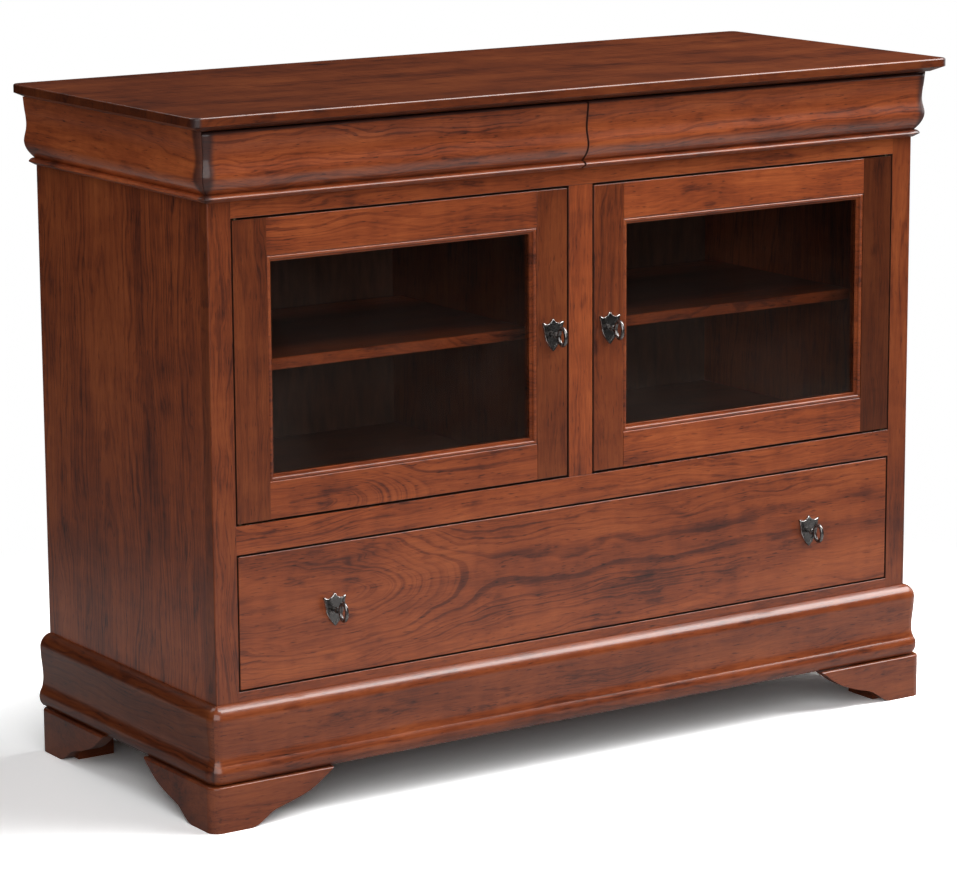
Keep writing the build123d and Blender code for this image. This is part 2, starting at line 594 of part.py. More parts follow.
def make_lower_drawer():
    """The wide drawer under the doors."""
    x1 = OPENING_X - FRONT_GAP
    z0, z1 = LOWER_OPENING_BOTTOM + FRONT_GAP, LOWER_OPENING_TOP - FRONT_GAP
    front = board(-x1, x1, FRONT, FRAME_BACK, z0, z1)
    front = fillet(front.faces().sort_by(Axis.Y)[0].edges(), ARRIS_ROUND / 2)

    grip = FRAME_THICKNESS + BOX_FRONT_WALL
    box_x = OPENING_X - SLIDE_WIDTH
    box_top = LOWER_BOX_BOTTOM + LOWER_BOX_HEIGHT
    box = drawer_box(-box_x, box_x, FRAME_BACK, BACK_FACE - BOX_BACK_CLEARANCE,
                     LOWER_BOX_BOTTOM, box_top)
    plates = []
    pulls = []
    for x in (-LOWER_PULL_X, LOWER_PULL_X):
        hole = shank_hole(x, LOWER_PULL_Z, grip)
        front = front - hole
        box[2] = box[2] - hole
        plates.append(shield_plate(x, LOWER_PULL_Z))
        pulls = pulls + key_pull(x, LOWER_PULL_Z, grip)
    save("lower_drawer_front", front)
    save("lower_drawer_box", *box)
    save("lower_drawer_shield_plates", *plates)
    save("lower_drawer_key_pulls", *pulls)

    size = (LOWER_SLIDE_HEIGHT, LOWER_SLIDE_LENGTH, (LOWER_BOX_BOTTOM + box_top) / 2)
    left = slide(-OPENING_X, 1, *size)
    save("lower_drawer_slide_middles", left[1], *mirrored(left[1]))
    save("lower_drawer_slide_members", left[2], *mirrored(left[2]))
    return [left[0]], slide_packer(*size)


def make_drawers():
    frieze_members, frieze_packer = make_frieze_drawers()
    lower_members, lower_packer = make_lower_drawer()
    members = frieze_members + lower_members
    packers = [frieze_packer, lower_packer]
    save("slide_case_members", *members, *mirrored(*members))
    save("slide_packers", *packers, *mirrored(*packers))


# ---- Feet ---------------------------------------------------------------------------------
def bracket_outline():
    """One bracket, as (along from the outer corner, height): a flat pad, then a scroll."""
    shape = [(0.38, 0.07), (0.45, 0.21), (0.5, 0.3), (0.6, 0.39), (0.71, 0.49), (0.81, 0.61),
             (0.88, 0.74), (0.94, 0.87), (1.0, 1.0)]
    points = [(FOOT_PAD, 0)] + [(a * FOOT_LENGTH, h * FOOT_HEIGHT) for a, h in shape]
    scroll = Spline(points, tangents=[(1, 0.1), (1.35, 1)])
    rest = Polyline(points[-1], (0, FOOT_HEIGHT), (0, 0), points[0])
    return make_face([scroll, rest])


def make_foot():
    """Two mitred brackets and a corner block, with the outer corner at the origin."""
    outline = bracket_outline()
    front = extrude(Plane.XZ * outline, -FOOT_BOARD)
    side = extrude(Plane(origin=(0, 0, 0), x_dir=(0, 1, 0), z_dir=(1, 0, 0)) * outline, FOOT_BOARD)
    pair = front + side
    corner = pair.edges().filter_by(Axis.Z).sort_by(Axis.X).group_by(Axis.Y)[0][0]
    pair = fillet(corner, FOOT_CORNER_RADIUS)
    upper = pair.faces().sort_by(Axis.Z)[-1].edges()
    outer = [edge for edge in upper if min(edge.center().X, edge.center().Y) < FOOT_BOARD / 3]
    outer = [edge for edge in outer if edge.length > FOOT_BOARD / 2 + 1]
    pair = fillet(outer, FOOT_EDGE_ROUND)
    far = FOOT_LENGTH + 1
    half = extrude(Polygon((0, 0), (far, 0), (far, far), align=None), FOOT_HEIGHT + 1)
    start = FOOT_BOARD
    end = start + FOOT_BLOCK
    block = board(start, end, start, end, 0, BASE_BOTTOM)
    return [pair & half, pair - half, block]


def make_feet():
    corner = Pos(-HALF - FOOT_PROUD, FRONT - FOOT_PROUD, 0)
    foot = make_foot()
    save_both("foot_front_SIDE", *[corner * piece for piece in foot])
    corner = Pos(-HALF - FOOT_PROUD, BACK, 0)
    rear = [corner * mirror(piece, about=Plane.XZ) for piece in foot]
    save_both("foot_rear_SIDE", *rear)


make_top()
make_carcase()
make_face_frame()
make_mouldings()
make_doors()
make_drawers()
make_feet()
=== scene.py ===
"""Looks for a Louis-Philippe style cherry media cabinet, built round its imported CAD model."""

import json
import math

import bmesh
import bpy
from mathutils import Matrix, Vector

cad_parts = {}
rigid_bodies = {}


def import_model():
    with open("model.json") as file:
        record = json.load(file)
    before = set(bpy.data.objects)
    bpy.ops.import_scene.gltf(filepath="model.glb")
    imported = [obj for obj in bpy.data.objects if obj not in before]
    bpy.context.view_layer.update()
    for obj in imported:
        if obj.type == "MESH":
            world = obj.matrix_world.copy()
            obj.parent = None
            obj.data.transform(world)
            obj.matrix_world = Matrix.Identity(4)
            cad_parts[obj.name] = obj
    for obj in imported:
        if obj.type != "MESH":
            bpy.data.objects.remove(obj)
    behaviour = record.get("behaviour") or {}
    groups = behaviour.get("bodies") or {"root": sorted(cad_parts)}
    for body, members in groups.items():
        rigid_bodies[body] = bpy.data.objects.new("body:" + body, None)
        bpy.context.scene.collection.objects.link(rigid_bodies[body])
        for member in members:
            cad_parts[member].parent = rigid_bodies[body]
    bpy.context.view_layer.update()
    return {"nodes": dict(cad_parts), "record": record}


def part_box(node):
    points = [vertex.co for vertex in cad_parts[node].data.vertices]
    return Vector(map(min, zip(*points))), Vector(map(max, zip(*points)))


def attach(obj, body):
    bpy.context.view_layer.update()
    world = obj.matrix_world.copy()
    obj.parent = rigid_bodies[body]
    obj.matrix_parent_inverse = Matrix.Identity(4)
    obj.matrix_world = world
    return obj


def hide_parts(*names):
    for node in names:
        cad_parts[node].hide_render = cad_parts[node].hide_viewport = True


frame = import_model()
NODES = frame["nodes"]
BODY_OF = {
    name: body
    for body, names in frame["record"]["behaviour"]["bodies"].items()
    for name in names
}
SLOT_OF = {name: node.data.materials[0].name for name, node in NODES.items()}

# Wood tones, as linear reflectance: the darkest streak, dark figure, middle and light figure.
CHERRY_TONES = (
    (0.016, 0.006, 0.005), (0.085, 0.020, 0.010),
    (0.215, 0.047, 0.015), (0.360, 0.092, 0.027),
)
TONE_STOPS = (0.0, 0.34, 0.62, 1.0)
# The dark colour of glaze at the corners, also used as painted shade in gaps and over the shelves.
DARK_GLAZE_AND_SHADE = (0.022, 0.010, 0.010, 1.0)
SURFACE_IOR = 1.5


class Graph:
    """One node material, and short ways to add nodes to it."""

    def __init__(self, name):
        self.material = bpy.data.materials.new(name)
        self.material.use_nodes = True
        self.tree = self.material.node_tree
        self.shader = self.tree.nodes["Principled BSDF"]
        self.coordinates = self.node("ShaderNodeTexCoord").outputs["Object"]

    def node(self, kind, **settings):
        made = self.tree.nodes.new(kind)
        for key, value in settings.items():
            setattr(made, key, value)
        return made

    def feed(self, socket, value):
        """Links an output to a socket, or sets a plain value on it."""
        if isinstance(value, bpy.types.NodeSocket):
            self.tree.links.new(value, socket)
        else:
            socket.default_value = value

    def math(self, operation, *values):
        made = self.node("ShaderNodeMath", operation=operation)
        for socket, value in zip(made.inputs, values):
            self.feed(socket, value)
        return made.outputs[0]

    def split(self, vector):
        made = self.node("ShaderNodeSeparateXYZ")
        self.feed(made.inputs[0], vector)
        return made.outputs

    def join(self, x, y, z):
        made = self.node("ShaderNodeCombineXYZ")
        for socket, value in zip(made.inputs, (x, y, z)):
            self.feed(socket, value)
        return made.outputs[0]

    def place(self, vector, offset=(0, 0, 0), scale=(1, 1, 1)):
        made = self.node("ShaderNodeMapping")
        self.feed(made.inputs["Vector"], vector)
        made.inputs["Location"].default_value = offset
        made.inputs["Scale"].default_value = scale
        return made.outputs[0]

    def noise(self, vector, scale, detail, roughness):
        made = self.node("ShaderNodeTexNoise")
        self.feed(made.inputs["Vector"], vector)
        made.inputs["Scale"].default_value = scale
        made.inputs["Detail"].default_value = detail
        made.inputs["Roughness"].default_value = roughness
        return made.outputs["Fac"]

    def noise_1d(self, value, detail, roughness):
        made = self.node("ShaderNodeTexNoise", noise_dimensions="1D")
        self.feed(made.inputs["W"], value)
        made.inputs["Scale"].default_value = 1.0
        made.inputs["Detail"].default_value = detail
        made.inputs["Roughness"].default_value = roughness
        return made.outputs["Fac"]

    def span(self, value, low, high, to_low=0.0, to_high=1.0):
        """Carries low to high over to to_low to to_high, with soft ends."""
        made = self.node("ShaderNodeMapRange", interpolation_type="SMOOTHSTEP")
        self.feed(made.inputs["Value"], value)
        made.inputs["From Min"].default_value = low
        made.inputs["From Max"].default_value = high
        made.inputs["To Min"].default_value = to_low
        made.inputs["To Max"].default_value = to_high
        return made.outputs["Result"]

    def ramp(self, factor, stops, colours):
        made = self.node("ShaderNodeValToRGB")
        self.feed(made.inputs[0], factor)
        elements = made.color_ramp.elements
        while len(elements) < len(stops):
            elements.new(0.5)
        for element, stop, colour in zip(elements, stops, colours):
            element.position = stop
            element.color = (*colour, 1.0)
        return made.outputs["Color"]

    def mix(self, factor, first, second):
        made = self.node("ShaderNodeMix", data_type="RGBA")
        self.feed(made.inputs["Factor"], factor)
        self.feed(made.inputs["A"], first)
        self.feed(made.inputs["B"], second)
        return made.outputs["Result"]

    def bump(self, height, distance, strength):
        made = self.node("ShaderNodeBump")
        self.feed(made.inputs["Height"], height)
        made.inputs["Distance"].default_value = distance
        made.inputs["Strength"].default_value = strength
        self.tree.links.new(made.outputs[0], self.shader.inputs["Normal"])

    def finish(self, colour, roughness, metallic=0.0, coat=0.0, coat_roughness=0.1, specular=0.5):
        self.feed(self.shader.inputs["Base Color"], colour)
        self.feed(self.shader.inputs["Roughness"], roughness)
        self.shader.inputs["Metallic"].default_value = metallic
        self.shader.inputs["Coat Weight"].default_value = coat
        self.shader.inputs["Coat Roughness"].default_value = coat_roughness
        self.shader.inputs["IOR"].default_value = SURFACE_IOR
        self.shader.inputs["Specular IOR Level"].default_value = specular
        return self.material


# Which of X, Y and Z runs along the grain, across the board's face and through the board.
GRAIN = {
    "x_front": (0, 2, 1), "x_top": (0, 1, 2),
    "z_front": (2, 0, 1), "z_side": (2, 1, 0),
    "y_side": (1, 2, 0),
}

# Noise in the cherry: offset, frequency per metre along, across and through the grain, detail, roughness.
CHERRY_NOISE = {
    "wave": ((0.0, 0.0, 0.0), (2.6, 7.0, 7.0), 3.0, 0.55),
    "wander": ((7.0, 3.0, 1.0), (8.0, 26.0, 26.0), 3.0, 0.5),
    "strength": ((3.0, 5.0, 7.0), (2.0, 6.0, 6.0), 1.0, 0.5),
    "mottle": ((2.0, 9.0, 4.0), (5.0, 15.0, 15.0), 5.0, 0.62),
    "broad": ((5.0, 1.0, 8.0), (1.8, 4.5, 4.5), 1.0, 0.5),
    "ripple": ((1.0, 2.0, 3.0), (46.0, 12.0, 12.0), 2.0, 0.5),
    "fibre": ((0.0, 0.0, 0.0), (30.0, 560.0, 560.0), 3.0, 0.7),
    "streak": ((6.0, 2.0, 9.0), (7.0, 150.0, 150.0), 3.0, 0.6),
    "fleck": ((4.0, 4.0, 4.0), (60.0, 480.0, 480.0), 1.0, 0.5),
    "patch": ((9.0, 6.0, 2.0), (13.0, 42.0, 42.0), 4.0, 0.62),
}
# How far the layers move the tone, about a middle tone; flecks, stains and rings only darken it.
MIDDLE_TONE = 0.66
TONE_SHARES = {"mottle": 0.95, "broad": 0.35, "ripple": 0.22, "fibre": 0.46, "streak": 0.40}
FLECK_DEPTH = 0.28
STAIN_DEPTH = 0.24
RING_DEPTH = 0.22
# Where in its noise a fleck, a stain or a ring's late wood starts and is full.
FLECK_EDGE = (0.64, 0.76)
STAIN_EDGE = (0.55, 0.74)
RING_EDGE = (0.42, 0.70)
# Rings fade in places, down to this share of their strength.
RING_FADE = (0.36, 0.62)
FADED_RING = 0.40
# Each board is cut from its own place in the tree: how far one seed moves it, and where it wraps round.
SEED_SHIFTS = ((1.37, 5.0), (0.73, 3.0), (0.31, 2.0))
RINGS_PER_METRE = 200.0
WAVE_BEND = 0.10
WANDER_BEND = 0.024
NEAREST_PITH = 0.006
# Dark bands of glaze and of painted shade are full within this share of their width, and cover the wood
# this much.
GLAZE_AND_SHADE_CORE = 0.4
GLAZE_AND_SHADE_COVER = 0.85
FIBRE_BUMP = 0.0002
FIBRE_BUMP_STRENGTH = 0.25
PORE_DEPTH = 0.6
WOOD_ROUGHNESS = 0.25
FIBRE_ROUGHNESS = 0.10
GLAZE_AND_SHADE_ROUGHNESS = 0.25
LACQUER = {"coat": 0.42, "coat_roughness": 0.12, "specular": 0.35}


def cherry(name, grain, seed, tone, tones, eye, glaze_and_shade, rings):
    """Stained cherry: growth rings round an off-centre pith, soft mottling, fine fibre and dark gum flecks.

    eye is where the rings close on the board's face: (along, across, reach, how deep the pith then lies).
    The dark bands come as a list of corners, each a list of (axis, middle, width) planes that a band lies
    close to: glaze at corners, and painted shade in the frieze gaps and over a shelf's middle.
    rings is how much the late wood of a ring darkens the board.
    """
    g = Graph(name)
    axes = g.split(g.coordinates)
    board = g.join(*[axes[i] for i in GRAIN[grain]])
    placed = g.place(board, offset=tuple(seed * step % wrap for step, wrap in SEED_SHIFTS))
    along, across, _ = g.split(board)
    wood = {key: g.noise(g.place(placed, offset, frequency), 1.0, detail, roughness)
            for key, (offset, frequency, detail, roughness) in CHERRY_NOISE.items()}
    if eye is None:
        # The pith lies well outside the board, so its rings run nearly straight.
        eye = (math.sin(seed * 2.1) * 0.9, math.cos(seed * 1.7) * 0.12 + 0.45, 0.9, 0.05)
    # The trunk's own waviness bends every ring the same way.
    sway = g.math("MULTIPLY_ADD", wood["wave"], WAVE_BEND, -WAVE_BEND / 2)
    sway = g.math("ADD", sway, g.math("MULTIPLY_ADD", wood["wander"], WANDER_BEND, -WANDER_BEND / 2))
    from_pith = g.math("ADD", g.math("ADD", across, -eye[1]), sway)
    pith_depth = g.span(along, eye[0], eye[0] + eye[2], NEAREST_PITH, eye[3])
    radius = g.math("SQRT", g.math("ADD", g.math("MULTIPLY", from_pith, from_pith),
                                   g.math("MULTIPLY", pith_depth, pith_depth)))
    ring = g.noise_1d(g.math("MULTIPLY", radius, RINGS_PER_METRE), detail=3.0, roughness=0.65)
    strength = g.span(wood["strength"], *RING_FADE, FADED_RING, 1.0)
    late_wood = g.math("MULTIPLY", g.span(ring, *RING_EDGE), strength)
    flecks = g.span(wood["fleck"], *FLECK_EDGE)
    stain = g.span(wood["patch"], *STAIN_EDGE)
    value = MIDDLE_TONE
    for key, amount in TONE_SHARES.items():
        value = g.math("MULTIPLY_ADD", g.math("SUBTRACT", wood[key], 0.5), amount, value)
    for layer, amount in ((late_wood, rings), (flecks, FLECK_DEPTH), (stain, STAIN_DEPTH)):
        value = g.math("MULTIPLY_ADD", layer, -amount, value)
    colours = [tuple(tone * part for part in colour) for colour in tones]
    colour = g.ramp(value, TONE_STOPS, colours)
    dull = None
    # Dark bands: glaze at the corners, and painted shade in the frieze gaps and over a shelf's middle; both
    # are made rougher too.
    for planes in glaze_and_shade:
        near = None
        for axis, middle, width in planes:
            off = g.math("ABSOLUTE", g.math("SUBTRACT", axes[axis], middle))
            here = g.span(off, width * GLAZE_AND_SHADE_CORE, width, 1.0, 0.0)
            near = here if near is None else g.math("MULTIPLY", near, here)
        colour = g.mix(g.math("MULTIPLY", near, GLAZE_AND_SHADE_COVER), colour, DARK_GLAZE_AND_SHADE)
        dull = near if dull is None else g.math("MAXIMUM", dull, near)
    # The flecks are open pores, lower than the fibre round them.
    g.bump(g.math("MULTIPLY_ADD", flecks, -PORE_DEPTH, wood["fibre"]), FIBRE_BUMP, FIBRE_BUMP_STRENGTH)
    rough = g.math("MULTIPLY_ADD", wood["fibre"], FIBRE_ROUGHNESS, WOOD_ROUGHNESS)
    if dull:
        rough = g.math("MULTIPLY_ADD", dull, GLAZE_AND_SHADE_ROUGHNESS, rough)
    return g.finish(colour, rough, **LACQUER)


CLOUD_BUMP_STRENGTH = 0.6
CLOUD_ROUGHNESS = 0.16


def speckled(name, colour, variation, scale, roughness, metallic=0.0, stretch=(1, 1, 1), bump=0.0):
    """A plain material with a little cloudy variation in colour and gloss."""
    g = Graph(name)
    cloud = g.noise(g.place(g.coordinates, scale=stretch), scale=scale, detail=4.0, roughness=0.6)
    dark = tuple(part * (1.0 - variation) for part in colour)
    light = tuple(min(1.0, part * (1.0 + variation)) for part in colour)
    tone = g.ramp(cloud, (0.3, 0.7), (dark, light))
    if bump:
        g.bump(cloud, bump, CLOUD_BUMP_STRENGTH)
    rough = g.math("MULTIPLY_ADD", cloud, CLOUD_ROUGHNESS, roughness - CLOUD_ROUGHNESS / 2)
    return g.finish(tone, rough, metallic=metallic)


GLASS_IOR = 1.45
MIRROR_TINT = (0.55, 0.46, 0.41, 1.0)
MIRROR_ROUGHNESS = 0.06
MIRROR_SHARE = 0.9
FILM_SHARE = 0.05


def smoked_glass():
    """Clear, faintly tinted glass that mirrors more towards grazing, with a thin uneven film on it."""
    g = Graph("smoked_glass_pane")
    smear = g.noise(g.place(g.coordinates, scale=(6.0, 6.0, 9.0)), scale=1.0, detail=5.0, roughness=0.65)
    tint = g.ramp(smear, (0.35, 0.70), ((0.90, 0.88, 0.86), (0.98, 0.97, 0.96)))
    clear = g.node("ShaderNodeBsdfTransparent")
    g.feed(clear.inputs["Color"], tint)
    g.finish(MIRROR_TINT, MIRROR_ROUGHNESS, metallic=1.0)
    fresnel = g.node("ShaderNodeFresnel")
    fresnel.inputs["IOR"].default_value = GLASS_IOR
    blend = g.node("ShaderNodeMixShader")
    film = g.span(smear, 0.36, 0.66, 0.0, FILM_SHARE)
    g.feed(blend.inputs[0], g.math("MULTIPLY_ADD", fresnel.outputs[0], MIRROR_SHARE, film))
    g.tree.links.new(clear.outputs[0], blend.inputs[1])
    g.tree.links.new(g.shader.outputs[0], blend.inputs[2])
    output = next(n for n in g.tree.nodes if n.type == "OUTPUT_MATERIAL")
    g.tree.links.new(blend.outputs[0], output.inputs["Surface"])
    return g.material


def coat(obj, material):
    """Shows a node in a material, and leaves its mesh as it is."""
    for slot in obj.material_slots:
        slot.link = "OBJECT"
        slot.material = material


scene = bpy.context.scene
scene_objects = scene.collection.objects

# ------------------------------------------------------------------ wood, board by board
INSIDE_DARKER = 0.62
INSIDE_TONES = tuple(tuple(INSIDE_DARKER * part for part in colour) for colour in CHERRY_TONES)
GRAIN_OF = {
    "top_panel": "x_top", "side_panel_left": "z_side", "side_panel_right": "z_side",
    "face_stile_left": "z_front", "face_stile_right": "z_front", "face_mullion": "z_front",
    "door_left_stiles": "z_front", "door_right_stiles": "z_front",
    "frieze_moulding_left": "y_side", "frieze_moulding_right": "y_side", "base_moulding_sides": "y_side",
    "centre_partition": "z_side", "frieze_divider": "z_side",
    "case_bottom": "x_top", "compartment_floor": "x_top", "drawer_deck": "x_top",
    "shelf_left": "x_top", "shelf_right": "x_top",
}
# How light a node's boards are, or one board by its own name; the rest are 1. Besides the wood's own tone,
# some carry painted light and shade: the top is darker as painted shade, and the shelves, the side panels
# and the frieze mouldings are lighter as painted light.
TONE_AND_LIGHT_OF = {
    "face_stile_left": 0.8, "face_stile_right": 0.8, "door_left_stiles": 0.6, "door_right_stiles": 0.74,
    "door_right_stiles_board_2": 0.34, "face_mullion": 1.16, "side_panel_left": 1.24,
    "side_panel_right": 1.24, "top_panel": 0.54, "base_moulding_front": 0.84,
    "base_moulding_sides": 0.56, "foot_front_left": 0.78, "foot_front_right": 0.76,
    "foot_rear_left": 0.7, "foot_rear_right": 0.7, "frieze_moulding_left": 1.7,
    "frieze_moulding_right": 1.7, "door_right_rails": 1.18, "door_left_rails": 1.04,
    "face_rail_middle": 1.08, "shelf_left": 2.4, "shelf_right": 2.4, "frieze_drawer_left_front": 1.08,
    "frieze_drawer_right_front": 1.16,
}
EYE_OF = {
    "lower_drawer_front": (-0.43, 0.285, 0.30, 0.075), "door_left_rails": (-0.42, 0.415, 0.2, 0.06),
    "top_panel": (0.1, -0.05, 0.8, 0.03), "side_panel_left": (0.1, 0.06, 0.7, 0.05),
}
RINGS_OF = {"lower_drawer_front": 0.27, "door_left_rails": 0.32, "side_panel_left": 0.26}
CARCASE_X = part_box("side_panel_right")[1].x
CARCASE_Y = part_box("face_stile_left")[0].y
FRIEZE_GLAZE_WIDTH = 0.017
FRIEZE_BULGE = 0.010
BASE_GLAZE_WIDTH = 0.0115
TOP_GLAZE_WIDTH = 0.014
DRAWER_SPLIT_SHADE_WIDTH = 0.0026
UNDER_TOP_SHADE_WIDTH = 0.0045
SHELF_SHADE_SHARE = 0.49


def corner_glaze(x, y, width):
    """Glaze planes for both front corners of a part that is the same on both sides."""
    return [[(0, side * x, width), (1, y, width)] for side in (-1, 1)]


FRIEZE_GLAZE = corner_glaze(CARCASE_X + FRIEZE_BULGE, CARCASE_Y - FRIEZE_BULGE, FRIEZE_GLAZE_WIDTH)
BASE_GLAZE = corner_glaze(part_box("base_moulding_sides")[1].x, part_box("base_moulding_front")[0].y,
                          BASE_GLAZE_WIDTH)
# Painted shade: the split between the frieze drawers and the line under the top are darkened too.
FRIEZE_GAP_SHADE = [[(0, 0.0, DRAWER_SPLIT_SHADE_WIDTH)],
               [(2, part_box("frieze_drawer_left_front")[1].z, UNDER_TOP_SHADE_WIDTH)]]
# Which boards get dark bands: glaze at the corners, painted shade in the frieze gaps and over the shelves.
GLAZE_AND_SHADE_OF = {
    "top_panel": corner_glaze(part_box("top_panel")[1].x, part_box("top_panel")[0].y, TOP_GLAZE_WIDTH),
    "frieze_drawer_left_front": FRIEZE_GLAZE + FRIEZE_GAP_SHADE,
    "frieze_drawer_right_front": FRIEZE_GLAZE + FRIEZE_GAP_SHADE,
    "frieze_moulding_left": FRIEZE_GLAZE, "frieze_moulding_right": FRIEZE_GLAZE,
    "base_moulding_front": BASE_GLAZE, "base_moulding_sides": BASE_GLAZE,
}
# A shelf's middle is darkened as painted shade, and it stays lighter towards its front and back edges.
for name in ("shelf_left", "shelf_right"):
    low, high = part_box(name)
    GLAZE_AND_SHADE_OF[name] = [[(1, (low.y + high.y) / 2, (high.y - low.y) * SHELF_SHADE_SHARE)]]

# Boards with square edges get them eased, and each board is a piece of its own: node, easing, and the
# axis of the edges that butt against another board and stay square.
EASED = {
    "door_left_stiles": (0.0015, None), "door_right_stiles": (0.0015, None),
    "door_left_rails": (0.0015, 2), "door_right_rails": (0.0015, 2),
    "lower_drawer_front": (0.0016, None), "face_mullion": (0.0009, 0),
    "face_stile_left": (0.0009, 0), "face_stile_right": (0.0009, 0),
    "face_rail_top": (0.0012, 2), "face_rail_middle": (0.0015, 2), "face_rail_bottom": (0.0012, 2),
    "shelf_left": (0.0016, None), "shelf_right": (0.0016, None),
}
MERGE = 1e-5
FLAT_ANGLE = math.radians(1.0)
EASE_ANGLE = math.radians(40.0)
EASE_SEGMENTS = 3
SMOOTH_ANGLE = math.radians(32.0)


def loose_parts(bm):
    """The separate solids of a mesh, as lists of faces, in order of place."""
    left = set(bm.faces)
    parts = []
    while left:
        start = min(left, key=lambda face: face.index)
        found = {start}
        to_visit = [start]
        while to_visit:
            face = to_visit.pop()
            for edge in face.edges:
                for other in edge.link_faces:
                    if other not in found:
                        found.add(other)
                        to_visit.append(other)
        left -= found
        parts.append(sorted(found, key=lambda face: face.index))

    def place(faces):
        middle = sum((face.calc_center_median() for face in faces), Vector()) / len(faces)
        return tuple(round(part, 3) for part in middle)

    return sorted(parts, key=place)


def runs_along(edge, axis):
    """Whether an edge lies along an axis; no edge does where the axis is None."""
    if axis is None:
        return False
    line = edge.verts[0].co - edge.verts[1].co
    return abs(line[axis]) > 0.9 * line.length


def eased_boards(node_name, easing, butted):
    """New pieces for a node's boards, the same but with eased edges."""
    source = bmesh.new()
    source.from_mesh(NODES[node_name].data)
    bmesh.ops.remove_doubles(source, verts=source.verts, dist=MERGE)
    source.faces.index_update()
    pieces = []
    for number, faces in enumerate(loose_parts(source)):
        made = bmesh.new()
        vertices = {}
        for face in faces:
            for vertex in face.verts:
                if vertex not in vertices:
                    vertices[vertex] = made.verts.new(vertex.co)
        for face in faces:
            made.faces.new([vertices[vertex] for vertex in face.verts])
        bmesh.ops.dissolve_limit(made, angle_limit=FLAT_ANGLE, verts=made.verts, edges=made.edges)
        sharp = [edge for edge in made.edges if len(edge.link_faces) == 2
                 and edge.calc_face_angle() > EASE_ANGLE and not runs_along(edge, butted)]
        bmesh.ops.bevel(made, geom=sharp, offset=easing, segments=EASE_SEGMENTS, profile=0.5,
                        affect="EDGES", clamp_overlap=True)
        bmesh.ops.triangulate(made, faces=[face for face in made.faces if len(face.verts) > 4])
        mesh = bpy.data.meshes.new(f"{node_name}_board_{number + 1}")
        made.to_mesh(mesh)
        made.free()
        mesh.shade_smooth()
        mesh.set_sharp_from_angle(angle=SMOOTH_ANGLE)
        piece = bpy.data.objects.new(mesh.name, mesh)
        scene_objects.link(piece)
        weighted = piece.modifiers.new("even_shading", "WEIGHTED_NORMAL")
        weighted.keep_sharp = True
        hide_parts(node_name)
        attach(piece, BODY_OF[node_name])
        pieces.append(piece)
    source.free()
    return pieces


GAP_DEPTH = 0.002
SIDE_MARGIN = 0.0012
SIDEWAYS = 0.3


def paint_gap_shade(piece, dark, leaf=None):
    """Paints shade on faces that look into a gap: on a door's leaf only its outer edges, elsewhere every
    edge.
    """
    piece.data.materials.append(dark)
    for face in piece.data.polygons:
        in_gap = abs(face.normal.y) < SIDEWAYS and abs(face.center.x) < CARCASE_X - SIDE_MARGIN
        if leaf:
            low, high = leaf
            in_gap = in_gap and any(min(face.center[i] - low[i], high[i] - face.center[i]) < GAP_DEPTH
                                    for i in (0, 2))
        if in_gap:
            face.material_index = 1


# Painted shade for the board edges that look into the gaps round doors, drawers and rails.
GAP_SHADE_WOOD = speckled("gap_painted_shade", (0.042, 0.014, 0.008), 0.25, 40.0, 0.6)
BOARD_SEEDS = 17
for seed, name in enumerate(sorted(NODES)):
    kind = SLOT_OF[name]
    if kind not in ("cherry", "inside_cherry"):
        continue
    # Shelves take the outside tones, lighter than the inside ones, as painted light in place of light
    # through the glass.
    is_shelf = name.startswith("shelf")
    tone = TONE_AND_LIGHT_OF.get(name, 1.0)
    looks = {
        "grain": GRAIN_OF.get(name, "x_front"),
        "tones": CHERRY_TONES if kind == "cherry" or is_shelf else INSIDE_TONES,
        "eye": EYE_OF.get(name),
        "glaze_and_shade": GLAZE_AND_SHADE_OF.get(name, ()),
        "rings": RINGS_OF.get(name, RING_DEPTH),
    }
    if name in EASED:
        for number, piece in enumerate(eased_boards(name, *EASED[name])):
            board_tone = TONE_AND_LIGHT_OF.get(piece.name, tone)
            board_seed = seed + BOARD_SEEDS * number
            wood = cherry("wood_" + piece.name, seed=board_seed, tone=board_tone, **looks)
            piece.data.materials.append(wood)
            if not is_shelf:
                leaf = name[:name.rindex("_")] + "_stiles"
                paint_gap_shade(piece, GAP_SHADE_WOOD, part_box(leaf) if leaf in NODES else None)
    else:
        coat(NODES[name], cherry("wood_" + name, seed=seed, tone=tone, **looks))

# Colour, how much it varies, cloud scale and roughness of the plain materials.
PALE = speckled("pale_drawer_wood", (0.52, 0.34, 0.19), 0.16, 9.0, 0.55, stretch=(1, 6, 6), bump=0.0002)
PLY = speckled("back_ply", (0.085, 0.034, 0.020), 0.45, 14.0, 0.6, stretch=(5, 5, 1), bump=0.0003)
PEWTER = speckled("antique_pewter_metal", (0.18, 0.17, 0.165), 0.35, 160.0, 0.26, metallic=1.0,
                  bump=0.00012)
RIM = speckled("polished_pewter_metal", (0.62, 0.60, 0.58), 0.20, 160.0, 0.24, metallic=1.0,
               bump=0.0001)
BRASS = speckled("hinge_brass_metal", (0.13, 0.09, 0.05), 0.25, 60.0, 0.34, metallic=1.0)
ZINC = speckled("zinc_steel_metal", (0.55, 0.56, 0.58), 0.12, 45.0, 0.36, metallic=1.0)
PLASTIC = speckled("catch_plastic_brown", (0.10, 0.055, 0.035), 0.12, 90.0, 0.45)
GLASS = smoked_glass()
PLAIN = {"drawer_wood": PALE, "back_wood": PLY, "antique_pewter": PEWTER, "hinge_brass": BRASS,
         "zinc_steel": ZINC, "catch_plastic": PLASTIC, "smoked_glass": GLASS}
for name, node in NODES.items():
    if SLOT_OF[name] in PLAIN:
        coat(node, PLAIN[SLOT_OF[name]])


# ------------------------------------------------------------------ shield plates with a rounded rim
RIM_RADIUS = 0.0013
ARC_STEPS = 9
